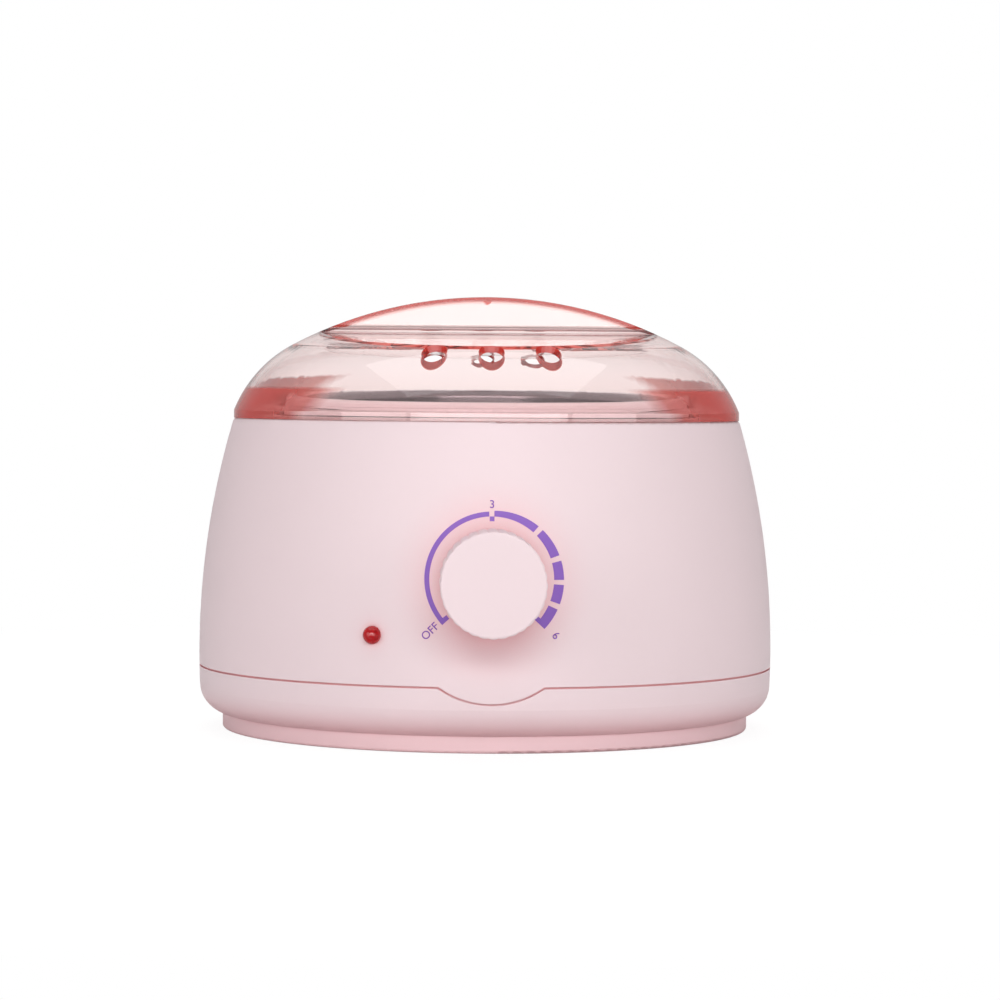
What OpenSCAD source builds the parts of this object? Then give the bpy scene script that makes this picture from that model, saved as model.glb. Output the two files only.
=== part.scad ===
// Wax warmer: an aluminium pot with a bail handle stands in a heated well inside a barrel-shaped
// housing, under a clear domed lid. The object stands on z = 0 and its front, with the control
// knob, faces -Y. The origin is on the barrel's axis at the resting plane.

/* [Body] */
// Height at which the barrel is widest
belly_z = 25; // [22:1:30]
// How much further out the barrel stands at its widest than at the lid seam
barrel_swell = 10.8; // [10:0.1:12]
// Height of the lid seam
seam_z = 99.8; // [98:0.2:104]
// Wall thickness of the plastic housing
shell_wall = 2.6; // [2.2:0.1:3]
// Height of the parting line between housing and base
parting_z = 20.4; // [19:0.2:23]
// Width of the groove at the parting line
parting_gap = 0.6; // [0.4:0.1:0.8]
// Depth of the groove at the parting line
groove_depth = 1; // [0.8:0.1:1.4]
// Radius of the round tongue at the front of the parting line
tongue_r = 27.7; // [24:0.1:30]
// Depth of the tongue below the parting line
tongue_drop = 5; // [4:0.5:6]

/* [Base] */
// Height of the base's floor above the table
floor_z = 5; // [4.5:0.1:6]
// Rounding between the barrel and the base's floor
base_corner_r = 9.5; // [8.5:0.5:10]
// How far the foot ring stands in from the barrel's widest reach
foot_inset = 7.6; // [7:0.1:9]
// Radial width of the foot ring
foot_ring_w = 5; // [4:0.5:5.5]
// Diameter of a rubber foot
rubber_d = 12; // [10:0.5:13]
// Gap between the foot ring and a rubber foot
rubber_gap = 7.9; // [6:0.1:9]
// Number of cooling slots in the floor
slot_count = 12; // [8:1:16]
// Length of a cooling slot
slot_l = 24; // [16:1:26]
// Width of a cooling slot
slot_w = 3; // [2:0.5:3]

/* [Deck] */
// Step of the deck above the seam, which centres the lid
deck_step = 0.8; // [0.6:0.1:1.2]
// Thickness of the deck
deck_t = 3.4; // [3:0.1:4]
// Gap between the pot and the opening that it hangs in
deck_gap = 3.9; // [3.2:0.1:4.3]
// Width of the deck between the ears' pockets and the lid
deck_land = 7.9; // [7:0.1:9]
// Height of the collar under the opening
collar_h = 6; // [5:0.5:7]

/* [Lid] */
// Height of the lid, from its seam to its crown
lid_h = 39.4; // [37:0.1:41]
// Radius of the dome's top in section
dome_r = 133.5; // [132.5:0.1:134.5]
// Radius of the dome's shoulder in section
shoulder_r = 41.4; // [41:0.1:42]
// How far the shoulder's curve would pass outside the seam
shoulder_reach = 0.916; // [0.5:0.002:1.3]
// Wall thickness of the lid
lid_wall = 2; // [1.6:0.1:2.4]
// Radius of the shoulder's inner face, smaller than concentric so that the wall thickens downwards
inner_shoulder_r = 31.6; // [31:0.1:33]
// Width of the lid's foot
lid_foot_w = 3.9; // [3.4:0.1:4.4]
// Height of the lid's foot
lid_foot_h = 2.4; // [1.8:0.2:3]
// Thickness of the finger ridge at its foot
ridge_t = 15; // [13:0.5:18]
// Lean of the ridge's faces
ridge_draft = 2; // [0.5:0.5:4]
// Height of the finger ridge above the flats at its foot
ridge_h = 11.6; // [10:0.1:12.6]
// Fall of the flats towards the rim
flat_fall = 5; // [3:0.5:6]
// Radius of the fillet at the foot of the ridge
ridge_fillet = 3; // [2.6:0.1:4]
// Diameter of a vent
vent_d = 7.6; // [6:0.1:8]
// How far the vents stand in from the seam
vent_inset = 14.4; // [13.8:0.1:14.8]
// Angle between two vents
vent_pitch = 15; // [13:0.5:18]
// Number of vents in each half of the lid
vent_count = 3; // [1:2:5]

/* [Pot] */
// Inner diameter of the pot at its mouth
pot_in_d = 107.2; // [106.6:0.2:107.6]
// How much narrower the pot is at its floor than at its mouth
pot_taper = 4.2; // [2:0.1:7]
// Wall thickness of the pot
pot_wall = 1; // [0.8:0.1:1.2]
// Inner depth of the pot
pot_depth = 63; // [58:0.5:66]
// Rounding of the pot's inner corner
pot_corner_r = 8; // [6:0.5:10]
// Width of the flared rim
rim_w = 6.9; // [6.4:0.1:7.2]
// Height of the rim's underside above the deck
rim_lift = 1.4; // [1.2:0.1:1.8]
// Radius of the flare between wall and rim
flare_r = 3; // [2.5:0.1:3.5]

/* [Handle] */
// Radial width of the handle's section
grip_w = 3.4; // [3:0.1:3.6]
// Height of the handle's section
grip_h = 3.4; // [3:0.1:3.6]
// Gap between the pot's rim and the handle
grip_gap = 1.6; // [1.2:0.1:1.8]
// Diameter of the handle's end bosses
boss_d = 5.2; // [5:0.1:5.6]
// Diameter of the pivot rivets
pivot_d = 2.4; // [2:0.1:2.6]
// Width of an ear
ear_w = 9; // [8:0.5:10]
// Sheet thickness of an ear
ear_t = 1; // [0.8:0.1:1]

/* [Heater] */
// Gap between the pot and the well round it
well_gap = 0.8; // [0.6:0.1:1]
// Wall thickness of the well
well_wall = 1.5; // [1.2:0.1:1.8]
// Thickness of the mica wrap
mica_t = 0.5; // [0.4:0.1:0.8]
// Thickness of the heater band
band_t = 1.6; // [1.2:0.1:2]
// Height of the heater band
band_h = 26; // [20:1:28]
// Height of the band's lower edge above the well's floor
band_lift = 10; // [8:1:12]
// Gap between the heater band and the heat shield
shield_gap = 7.5; // [7:0.1:8]
// Sheet thickness of shield, frame and clips
sheet_t = 0.6; // [0.5:0.1:0.8]

/* [Control] */
// Height of the knob's axis
knob_z = 52.6; // [50:0.2:55]
// Diameter of the knob over its flutes
knob_d = 31.4; // [30:0.2:33]
// Length of the knob
knob_l = 25; // [22:0.5:27]
// Gap between the knob and the barrel's widest reach behind it
knob_gap = 0.8; // [0.6:0.1:1.2]
// Number of flutes round the knob
flute_count = 32; // [24:1:40]
// Radius of one rounded flute
flute_r = 3.2; // [3:0.1:4]
// Wall thickness of the knob
knob_wall = 2; // [1.6:0.1:2.4]
// Diameter of the control shaft
shaft_d = 6; // [5:0.5:6]
// Diameter of the threaded bush round the shaft
bush_d = 9.6; // [9:0.2:10]

/* [Pilot lamp] */
// Height of the lens
lens_z = 35.7; // [34:0.1:38]
// Angle of the lens from the front, seen from above
lens_angle = 22.7; // [21:0.1:25]
// Diameter of the lens
lens_d = 5.6; // [5:0.1:6.4]

/* [Cord inlet] */
// Height of the cord's hole
inlet_z = 31; // [29:0.5:34]
// Diameter of the hole through the gland
inlet_d = 7; // [6:0.1:7.4]
// Width of the gland's outer flange
gland_w = 15; // [14:0.5:17]

/* [Fasteners] */
// Thread diameter of the screws
screw_d = 3.5; // [3:0.1:4]
// Head diameter of the screws
head_d = 6.6; // [6:0.1:7]
// How far the base screws stand in from the seam
base_screw_inset = 8.2; // [7.8:0.1:8.6]
// Outer diameter of a screw boss
screw_boss_d = 7.6; // [7:0.1:8]

/* [Fits] */
// Radial clearance of the turning shaft and pivots
running_clear = 0.05; // [0.02:0.01:0.1]
// Clearance between parts that are pushed together
assembly_clear = 0.3; // [0.2:0.05:0.4]

/* [Hidden] */
$fn = 96;
arc_fn = 360;
far = 400;

// Pot, rim and handle, measured outwards from the pot's mouth
rim_r = pot_in_d / 2 + rim_w;
pot_floor_d = pot_in_d - pot_taper;
grip_in_r = rim_r + grip_gap;
boss_w = grip_w + 0.4;
tab_in = grip_in_r - 0.2 + boss_w + 0.1;
tab_out = tab_in + ear_t;
prong_l = 1.9;
pocket_out_r = tab_out + prong_l + 1.2;

// Barrel: one large arc from the seam down past the belly
lid_foot_in_r = pocket_out_r + deck_land;
seam_r = lid_foot_in_r + lid_foot_w;
body_r = seam_r + barrel_swell;
barrel_r = (pow(seam_z - belly_z, 2) + pow(body_r - seam_r, 2)) / (2 * (body_r - seam_r));
barrel_x = body_r - barrel_r;
function barrel_at(z, inset = 0) =
    barrel_x + sqrt(pow(barrel_r - inset, 2) - pow(z - belly_z, 2));
floor_top = floor_z + shell_wall;
foot_r = body_r - foot_inset;
rubber_circle_r = foot_r - foot_ring_w - rubber_gap - rubber_d / 2;
slot_in_r = 22;
seam_round = 0.8;

// Lid: the shoulder's arc passes a given point and runs into the top's arc without a corner
overall_h = seam_z + lid_h;
flat_z = overall_h - ridge_h;
vent_circle_r = seam_r - vent_inset;
hollow_reach = 0.245;
function join_angle(top_r, side_r, r, z) =
    let (
        apart = top_r - side_r,
        height = z - overall_h + dome_r,
        away = sqrt(r * r + height * height)
    )
    atan2(r, height) - acos((away * away + apart * apart - side_r * side_r) / (2 * apart * away));
outer_join = join_angle(dome_r, shoulder_r, seam_r + shoulder_reach, seam_z);
inner_join = join_angle(
    dome_r - lid_wall, inner_shoulder_r, lid_foot_in_r + hollow_reach, seam_z + lid_foot_h
);

// Deck and pot
deck_z = seam_z + deck_step;
deck_under = deck_z - deck_t;
collar_z = deck_under - collar_h;
collar_t = 2.4;
pot_r = pot_in_d / 2 + pot_wall;
deck_hole_r = pot_r + deck_gap;
deck_edge_r = lid_foot_in_r - assembly_clear;
function pot_at(z) =
    pot_floor_d / 2 + pot_wall + (z - pot_base_z) / pot_depth * pot_taper / 2;
rim_z = deck_z + rim_lift;
rim_top = rim_z + pot_wall;
pot_base_z = rim_top - pot_depth - pot_wall;

// Handle and ears
pivot_z = deck_z + 1.1;
ear_bend = 0.6;
ear_arm_z = pivot_z + boss_d / 2 - grip_h - 0.5 - ear_t;
ear_foot_z = collar_z + 1;
ear_tab_r = boss_d / 2 + 0.3;
rivet_d = 1.6;
rivet_head_r = 1.5;
rivet_head_h = 0.7;
rivet_seat = 0.16;
rivet_z = (ear_foot_z + ear_arm_z) / 2 - 0.4;
rivet_y = ear_w / 4;
pivot_head = grip_in_r - 0.9;
pivot_lip = 0.5;
prong_t = 0.7;
prong_spread = 1.9;
pocket_w = ear_w + 4;
pocket_in_r = deck_hole_r - 1;
pocket_floor = pivot_z - boss_d / 2 - assembly_clear;

// Well and heater
well_in_r = pot_r + well_gap;
well_r = well_in_r + well_wall;
well_floor = pot_base_z;
well_top = collar_z;
well_screw_r = deck_hole_r + collar_t + screw_boss_d / 2 + 0.1;
well_flange_r = well_screw_r + 4.5;
mica_r = well_r + mica_t;
band_r = mica_r + band_t;
band_z = well_floor + band_lift;
lug_gap = 5;
lug_l = 8;
lug_t = 1.2;
shield_r = band_r + shield_gap;
shield_z = band_z - 4;
window_w = 20;

// Front: everything on the knob's axis is measured outwards from the barrel's axis
front_r = barrel_at(knob_z);
spot_y = front_r - 1.2;
knob_back = barrel_at(knob_z - knob_d / 2) + knob_gap;
knob_face = knob_back + knob_l;
knob_r = knob_d / 2;
knob_round = 0.9;
hub_r = shaft_d / 2 + 2.4;
shaft_tip = knob_face - knob_wall - 1;
nut_t = 2;
nut_flats = bush_d + 3.4;
frame_t = 1.2;
frame_w = 32;
frame_h = 20;
pad_y = sqrt(pow(barrel_at(knob_z + frame_h / 2, shell_wall), 2) - pow(frame_w / 2, 2)) - assembly_clear;
frame_y = pad_y - frame_t;
strap_w = 12;
strap_t = 1;
strap_foot_z = band_z + band_h + 2;
strap_foot_h = 8;
stack_x = 11;
stack_r = 4.4;
stack_hole_r = 1.4;
blade_t = 0.5;
blade_w = 6;
stack_step = 2.6;
stack_count = 3;
tail_x = stack_x + stack_r + 3;
blade_reach = 7;
flat_depth = 0.8;
shaft_end = pad_y - frame_t - stack_step + blade_t + 0.1;

// Pilot lamp, measured outwards along its own axis
lens_r = lens_d / 2;
lens_seat = barrel_at(lens_z) - shell_wall;
lens_neck = barrel_at(lens_z) + 0.2;
holder_l = 14;
lamp_r = 2;
lamp_foot = 14.4;
lens_flange = 2.4;
lens_lip = 1.2;

// Cord inlet
inlet_seat = barrel_at(inlet_z) - 0.5;
inlet_pad = barrel_at(inlet_z, shell_wall) - 1.2;
neck_half = inlet_d / 2 + 2;
neck_round = 2;
snap_l = 1.6;
snap_h = 0.7;

// Base fixings
base_screw_r = seam_r - base_screw_inset;
screw_angles = [45, 135, 225, 315];
foot_angles = [0, 90, 180, 270];
head_h = 2.2;
head_z = floor_z + 4.4;
sleeve_top = parting_z - 2;
register_h = 3;
register_t = 2;

// Thermal fuse and terminal block
fuse_r = 2;
fuse_y = 18;
fuse_z = well_floor - well_wall - fuse_r - sheet_t - 0.6;
block_w = 30;
block_d = 14;
block_h = 12;
block_y = slot_in_r + slot_l + 2;
clamp_step = 10;
clamp_z = floor_top + 5;
clamp_r = 1.7;
clamp_screw_h = 4;
clamp_rows = [4, 10];

// Inner leads: sleeved wires that run level between the floor and the well
lead_r = 1.3;
lead_bend = 3;
lead_sides = 8;
bend_steps = 4;
lead_in = 2;
fuse_wire_r = 0.5;
fuse_half = 7;
fuse_wire_half = 12;
run_z = 26;
lamp_run_z = 20;
turn_y = block_y - 8;
blade_end = [tail_x - 1.4, knob_z - blade_w / 2];
lug_end = [(lug_gap + lug_t) / 2, band_r + lug_l / 2, band_z + 3];

module ring_of(angles, r) {
    for (a = angles) rotate(a) translate([r, 0, 0]) children();
}

module tube(r_out, r_in, h) {
    difference() {
        cylinder(r = r_out, h = h);
        translate([0, 0, -1]) cylinder(r = r_in, h = h + 2);
    }
}

// Child's +Z points out of the front, its +Y points up
module out_of_front(z = 0) {
    translate([0, 0, z]) rotate([90, 0, 0]) children();
}

// Half plane of positive radius between two heights
module height_band(z0, z1) {
    translate([0, z0]) square([far / 2, z1 - z0]);
}

// Section of the closed barrel, offset inwards by inset, with its rounded bottom corner
module barrel_section(inset, z_low, z_high, corner) {
    corner_z = z_low + corner;
    corner_x = barrel_at(corner_z, inset) - corner;
    difference() {
        intersection() {
            translate([barrel_x, belly_z]) circle(r = barrel_r - inset, $fn = arc_fn);
            height_band(z_low, z_high);
        }
        difference() {
            translate([corner_x, z_low - 1]) square([corner + 2, corner + 1]);
            translate([corner_x, corner_z]) circle(r = corner);
        }
    }
}

// Everything above the parting line, with the tongue that reaches down at the front
module above_parting(shift) {
    translate([0, 0, parting_z + shift]) cylinder(r = far / 2, h = far);
    translate([0, -far / 2, parting_z - tongue_drop + tongue_r])
        rotate([-90, 0, 0])
            cylinder(r = tongue_r - shift, h = far / 2 - shield_r);
}

module housing_shell() {
    rotate_extrude()
        difference() {
            barrel_section(0, floor_z, seam_z, base_corner_r);
            barrel_section(shell_wall, floor_top, deck_under, base_corner_r - shell_wall);
            difference() {
                translate([seam_r - seam_round, seam_z - seam_round]) square(2 * seam_round);
                translate([seam_r - seam_round, seam_z - seam_round]) circle(r = seam_round);
            }
        }
}

module upper_housing() color("mistyrose") {
    difference() {
        union() {
            intersection() {
                housing_shell();
                above_parting(parting_gap / 2);
            }
            translate([0, 0, deck_under]) cylinder(r = deck_edge_r, h = deck_t);
            translate([0, 0, collar_z]) cylinder(r = deck_hole_r + collar_t, h = collar_h + 1);
            ring_of(screw_angles, base_screw_r) {
                translate([0, 0, sleeve_top]) cylinder(d = screw_boss_d, h = deck_under - sleeve_top + 1);
                intersection() {
                    translate([0, -0.9, sleeve_top + 6]) cube([16, 1.8, deck_under - sleeve_top - 5]);
                    translate([-base_screw_r, 0, 0]) rotate_extrude()
                        barrel_section(shell_wall / 2, floor_z, seam_z, base_corner_r);
                }
            }
            ring_of(screw_angles, well_screw_r)
                translate([0, 0, collar_z]) cylinder(d = screw_boss_d, h = collar_h + 1);
            out_of_front(knob_z) translate([0, 0, pad_y]) cylinder(r = nut_flats, h = spot_y - pad_y + 0.4);
            rotate(180) out_of_front(inlet_z) translate([0, 0, inlet_pad])
                linear_extrude(height = 3) rounded_square(gland_w / 2);
        }
        translate([0, 0, collar_z - 1]) cylinder(r = deck_hole_r, h = collar_h + deck_t + 2);
        for (side = [-1, 1]) ear_pocket(side);
        ring_of(screw_angles, base_screw_r)
            translate([0, 0, sleeve_top - 1]) cylinder(d = screw_d, h = 15);
        ring_of(screw_angles, well_screw_r)
            translate([0, 0, collar_z - 1]) cylinder(d = screw_d, h = collar_h);
        out_of_front(knob_z) translate([0, 0, spot_y]) cylinder(r = nut_flats * 0.8, h = 10);
        out_of_front(knob_z) translate([0, 0, pad_y - 5]) cylinder(d = bush_d, h = 20);
        rotate(-lens_angle) out_of_front(lens_z)
            translate([0, 0, lens_seat - 5]) cylinder(r = lens_r, h = 20);
        rotate(180) out_of_front(inlet_z) {
            translate([0, 0, inlet_seat]) linear_extrude(height = 10)
                rounded_square(gland_w / 2 + assembly_clear);
            translate([0, 0, inlet_pad - 5]) linear_extrude(height = 20) rounded_square(neck_half);
        }
    }
}

// Square of that half width with rounded corners, the outline of the cord gland and its seat
module rounded_square(half) {
    inner = half - neck_round;
    translate([-half, -inner]) square([2 * half, 2 * inner]);
    translate([-inner, -half]) square([2 * inner, 2 * half]);
    for (x = [-inner, inner], y = [-inner, inner]) translate([x, y]) circle(r = neck_round);
}

module ear_pocket(side) {
    translate([side > 0 ? pocket_in_r : -pocket_out_r, -pocket_w / 2, pocket_floor])
        cube([pocket_out_r - pocket_in_r, pocket_w, deck_t]);
}

module base_pan() color("mistyrose") {
    difference() {
        union() {
            difference() {
                housing_shell();
                above_parting(-parting_gap / 2);
            }
            difference() {
                groove_land();
                above_parting(parting_gap / 2);
            }
            rotate_extrude()
                difference() {
                    translate([foot_r - foot_ring_w, 0]) square([foot_ring_w, floor_top - 0.5]);
                    difference() {
                        translate([foot_r - 1, 0]) square(1);
                        translate([foot_r - 1, 1]) circle(r = 1);
                    }
                }
            register_lip();
            ring_of(screw_angles, base_screw_r)
                translate([0, 0, floor_z + 1]) cylinder(d = screw_boss_d + 3, h = sleeve_top - floor_z - 1);
        }
        ring_of(screw_angles, base_screw_r) {
            translate([0, 0, floor_z - 1]) cylinder(d = head_d + 0.6, h = head_z - floor_z + 1);
            translate([0, 0, floor_z]) cylinder(d = screw_d + 0.5, h = far / 10);
        }
        ring_of(foot_angles, rubber_circle_r)
            translate([0, 0, floor_z - 1]) cylinder(d = rubber_d, h = 2);
        for (i = [0:slot_count - 1]) rotate((i + 0.5) * 360 / slot_count) floor_slot();
    }
}

// Inner part of the base's edge, which the housing stands on; the groove is as deep as its outer part
module groove_land() {
    land_z = parting_z - tongue_drop - 3;
    rotate_extrude()
        intersection() {
            difference() {
                barrel_section(groove_depth, land_z - 20, far / 2, 5);
                barrel_section(shell_wall, land_z - 21, far / 2, 5);
            }
            height_band(land_z, parting_z + parting_gap);
        }
}

// Lip that stands up inside the housing's wall and closes the parting groove
module register_lip() {
    lip_z = parting_z - tongue_drop - 3;
    rotate_extrude()
        intersection() {
            difference() {
                barrel_section(shell_wall + assembly_clear, lip_z - 20, far / 2, 5);
                barrel_section(shell_wall + assembly_clear + register_t, lip_z - 21, far / 2, 5);
            }
            height_band(lip_z, parting_z + register_h);
        }
    translate([0, 0, lip_z])
        tube(barrel_at(lip_z) - 0.5, barrel_at(lip_z, shell_wall + assembly_clear + register_t), 2);
}

module floor_slot() {
    translate([slot_in_r, -slot_w / 2, floor_z - 1]) cube([slot_l, slot_w, shell_wall + 2]);
    for (x = [slot_in_r, slot_in_r + slot_l])
        translate([x, 0, floor_z - 1]) cylinder(d = slot_w, h = shell_wall + 2);
}

module rubber_feet() color("dimgray") {
    ring_of(foot_angles, rubber_circle_r) {
        cylinder(d1 = rubber_d - 1.6, d2 = rubber_d, h = floor_z - 1);
        translate([0, 0, floor_z - 1]) cylinder(d = rubber_d, h = 2);
    }
}

module screw(length) {
    difference() {
        union() {
            cylinder(d = head_d, h = head_h);
            translate([0, 0, head_h - 0.5]) cylinder(d = screw_d, h = length + 0.5);
        }
        for (a = [0, 90]) rotate(a) translate([-head_d * 0.3, -0.5, -1]) cube([head_d * 0.6, 1, 2]);
    }
}

module base_screws() color("silver") {
    ring_of(screw_angles, base_screw_r)
        translate([0, 0, head_z - head_h]) screw(sleeve_top + 12 - head_z);
}

// Section between the dome's axis and an arc, from angle a0 to a1 off the axis
module pie(r, a0, a1) {
    intersection() {
        circle(r = r, $fn = arc_fn);
        polygon([[0, 0], 2 * r * [sin(a0), cos(a0)], 3 * r * [sin((a0 + a1) / 2), cos((a0 + a1) / 2)],
            2 * r * [sin(a1), cos(a1)]]);
    }
}

// Half section of the dome: a flat arc at the top that runs into the tighter shoulder arc
module dome_section(top_r, side_r, join, z_low) {
    top_z = overall_h - dome_r;
    side_c = [0, top_z] + (top_r - side_r) * [sin(join), cos(join)];
    intersection() {
        union() {
            translate([0, top_z]) pie(top_r, 0, join);
            translate(side_c) pie(side_r, join - 2, 160);
            polygon([
                [0, top_z + side_r], side_c + [0, side_r / 2], side_c - [0, far / 4], [0, top_z - far / 4]
            ]);
        }
        height_band(z_low, far);
    }
}

// Space that the fingers reach into on one side of the ridge, grown outwards by grow
module ridge_scoop(grow) {
    face_foot = ridge_t / 2 - grow;
    foot_z = flat_z - grow / cos(flat_fall);
    fillet = ridge_fillet + grow;
    face_top = face_foot - ridge_h * tan(ridge_draft);
    reach = seam_r + 5;
    rise = overall_h + 10 - foot_z;
    fillet_y = face_foot + fillet * 0.96;
    fillet_z = foot_z + fillet / cos(flat_fall) - (fillet_y - ridge_t / 2) * tan(flat_fall);
    rotate([90, 0, 90])
        linear_extrude(height = 2 * far / 3, center = true)
            difference() {
                polygon([
                    [face_foot - rise * tan(ridge_draft), foot_z + rise],
                    [face_foot, foot_z],
                    [face_foot, foot_z - (face_foot - ridge_t / 2) * tan(flat_fall)],
                    [reach, foot_z - (reach - ridge_t / 2) * tan(flat_fall)],
                    [reach, foot_z + rise]
                ]);
                difference() {
                    translate([face_foot - 1, fillet_z - fillet - 2])
                        square([fillet * 0.96 + 1 - fillet * sin(flat_fall), fillet + 2]);
                    translate([fillet_y, fillet_z]) circle(r = fillet);
                }
            }
}

module lid() color([0.92, 0.36, 0.36, 0.45]) {
    difference() {
        intersection() {
            rotate_extrude() dome_section(dome_r, shoulder_r, outer_join, seam_z);
            translate([0, 0, seam_z]) cylinder(r = seam_r, h = far);
        }
        for (turn = [0, 180]) rotate(turn) ridge_scoop(0);
        lid_hollow();
        for (turn = [0, 180], i = [0:vent_count - 1])
            rotate(turn + 90 + (i - (vent_count - 1) / 2) * vent_pitch)
                translate([vent_circle_r, 0, seam_z]) cylinder(d = vent_d, h = far / 4);
    }
}

module lid_hollow() {
    difference() {
        rotate_extrude()
            dome_section(dome_r - lid_wall, inner_shoulder_r, inner_join, seam_z + lid_foot_h);
        for (turn = [0, 180]) rotate(turn) ridge_scoop(lid_wall);
    }
    translate([0, 0, seam_z - 1]) cylinder(r = lid_foot_in_r, h = lid_foot_h + 2);
}

// Section of the pot's wall, floor and flared rim, as one sheet of even thickness
module pot_section(inset) {
    lean = atan((pot_in_d - pot_floor_d) / 2 / pot_depth);
    corner = pot_corner_r + pot_wall - inset;
    base = pot_base_z + inset;
    floor_r = pot_at(base) - inset;
    corner_x = floor_r - corner * (1 - sin(lean)) / cos(lean) + 0.03;
    difference() {
        polygon([
            [0, base], [floor_r, base], [pot_at(rim_top + 0.5) - inset, rim_top + 0.5], [0, rim_top + 0.5]
        ]);
        difference() {
            translate([corner_x, base - 1]) square([corner + 1, 1 + corner * (1 - sin(lean))]);
            translate([corner_x, base + corner]) circle(r = corner);
        }
    }
}

module inner_pot() color("silver") {
    difference() {
        rotate_extrude()
            difference() {
                union() {
                    intersection() {
                        pot_section(0);
                        height_band(pot_base_z, rim_top);
                    }
                    difference() {
                        translate([pot_r - pot_wall, rim_z - flare_r])
                            square([rim_r - pot_r + pot_wall - 0.4, flare_r + pot_wall]);
                        translate([pot_r + flare_r, rim_z - flare_r]) circle(r = flare_r);
                        translate([pot_r + flare_r, rim_z - flare_r - 1]) square([far / 10, flare_r + 1]);
                    }
                    translate([rim_r - 0.8, rim_z + 0.5]) circle(r = 0.8);
                }
                pot_section(pot_wall);
                difference() {
                    translate([pot_r - pot_wall - 1, rim_top - flare_r]) square([flare_r + 1, flare_r + 1]);
                    translate([pot_r - pot_wall + flare_r, rim_top - flare_r]) circle(r = flare_r);
                }
            }
        rivet_places() cylinder(d = rivet_d, h = 12, center = true);
    }
}

// Child's +Z points outwards at each rivet that holds an ear to the pot's wall
module rivet_places() {
    for (turn = [0, 180], y = [-rivet_y, rivet_y])
        rotate(turn) translate([pot_at(rivet_z), y, rivet_z]) rotate([0, 90, 0]) children();
}

// Pressed ear: a foot riveted to the pot, a bend, a forked arm under the handle and an upright tab
module ear(side) {
    bend = [pot_r + ear_t + ear_bend, ear_arm_z - ear_bend];
    difference() {
        mirror([side < 0 ? 1 : 0, 0, 0]) {
            intersection() {
                rotate_extrude() ear_section(bend);
                translate([0, -ear_w / 2, ear_foot_z]) cube([far, ear_w, far]);
            }
            translate([tab_in, 0, 0]) rotate([90, 0, 90]) linear_extrude(height = ear_t) ear_tab_outline();
        }
        mirror([side < 0 ? 1 : 0, 0, 0]) {
            translate([tab_in - 1, 0, pivot_z]) rotate([0, 90, 0]) cylinder(d = pivot_d, h = 3);
            translate([pivot_head - 0.3, -boss_d / 2 - 0.4, ear_arm_z - 1])
                cube([tab_in - pivot_head + 0.3, boss_d + 0.8, 3]);
        }
        rivet_places() cylinder(d = rivet_d, h = 12, center = true);
    }
}

module ear_section(bend) {
    polygon([
        [pot_at(ear_foot_z), ear_foot_z], [pot_at(ear_foot_z) + ear_t, ear_foot_z],
        [pot_r + ear_t, bend[1]], [pot_r, bend[1]]
    ]);
    intersection() {
        translate(bend) difference() {
            circle(r = ear_t + ear_bend);
            circle(r = ear_bend);
        }
        translate(bend - [far / 10, 0]) square(far / 10);
    }
    translate([bend[0] - 0.01, ear_arm_z]) square([tab_out - bend[0], ear_t]);
}

module ear_tab_outline() {
    shoulder = ear_arm_z + ear_t;
    polygon([
        [-ear_w / 2, ear_arm_z], [ear_w / 2, ear_arm_z], [ear_w / 2, shoulder], [ear_tab_r, pivot_z],
        [-ear_tab_r, pivot_z], [-ear_w / 2, shoulder]
    ]);
    translate([0, pivot_z]) circle(r = ear_tab_r);
}

module ear_left() color("dimgray") ear(-1);
module ear_right() color("dimgray") ear(1);

module ear_rivets() color("silver") {
    rivet_places() {
        translate([0, 0, -pot_wall - rivet_head_h + 0.1])
            cylinder(d = rivet_d, h = pot_wall + ear_t + 2 * rivet_head_h - 0.3);
        translate([0, 0, ear_t + rivet_seat])
            cylinder(r1 = rivet_head_r, r2 = rivet_head_r * 2 / 3, h = rivet_head_h);
        translate([0, 0, -pot_wall - rivet_head_h - 0.05])
            cylinder(r1 = rivet_head_r * 3 / 4, r2 = rivet_head_r + 0.1, h = rivet_head_h - 0.1);
    }
}

// Split rivet: a round shank whose end is cut into two prongs that are bent apart
module handle_pivots() color("dimgray") {
    for (turn = [0, 180])
        rotate(turn) translate([0, 0, pivot_z]) rotate([0, 90, 0]) {
            translate([0, 0, pivot_head])
                cylinder(d1 = pivot_d, d2 = pivot_d + 2 * pivot_lip, h = pivot_lip);
            translate([0, 0, pivot_head + 0.2]) cylinder(d = pivot_d, h = tab_out - pivot_head);
            for (prong = [-1, 1])
                hull() {
                    translate([prong * pivot_d * 0.25, 0, tab_out + 0.15])
                        cube([pivot_d / 2, pivot_d * 0.8, 0.1], center = true);
                    translate([prong * prong_spread, 0, tab_out + prong_l])
                        cube([prong_t, pivot_d * 0.8, 0.2], center = true);
                }
        }
}

module pot_handle() color("mistyrose") {
    difference() {
        union() {
            translate([0, 0, pivot_z + boss_d / 2 - grip_h])
                intersection() {
                    rotate_extrude() grip_section();
                    translate([-far / 2, -far / 2, -1]) cube([far, far / 2, far]);
                }
            for (turn = [0, 180])
                rotate(turn) translate([grip_in_r - 0.2, 0, pivot_z]) rotate([0, 90, 0]) boss_body();
        }
        for (turn = [0, 180])
            rotate(turn) translate([grip_in_r - 2, 0, pivot_z])
                rotate([0, 90, 0]) cylinder(r = pivot_d / 2 + running_clear, h = boss_w + 4);
    }
}

module grip_section() {
    round_r = 1.2;
    translate([grip_in_r, 0]) {
        square([grip_w, grip_h - round_r]);
        translate([round_r, 0]) square([grip_w - 2 * round_r, grip_h]);
        for (x = [round_r, grip_w - round_r]) translate([x, grip_h - round_r]) circle(r = round_r);
    }
}

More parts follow.
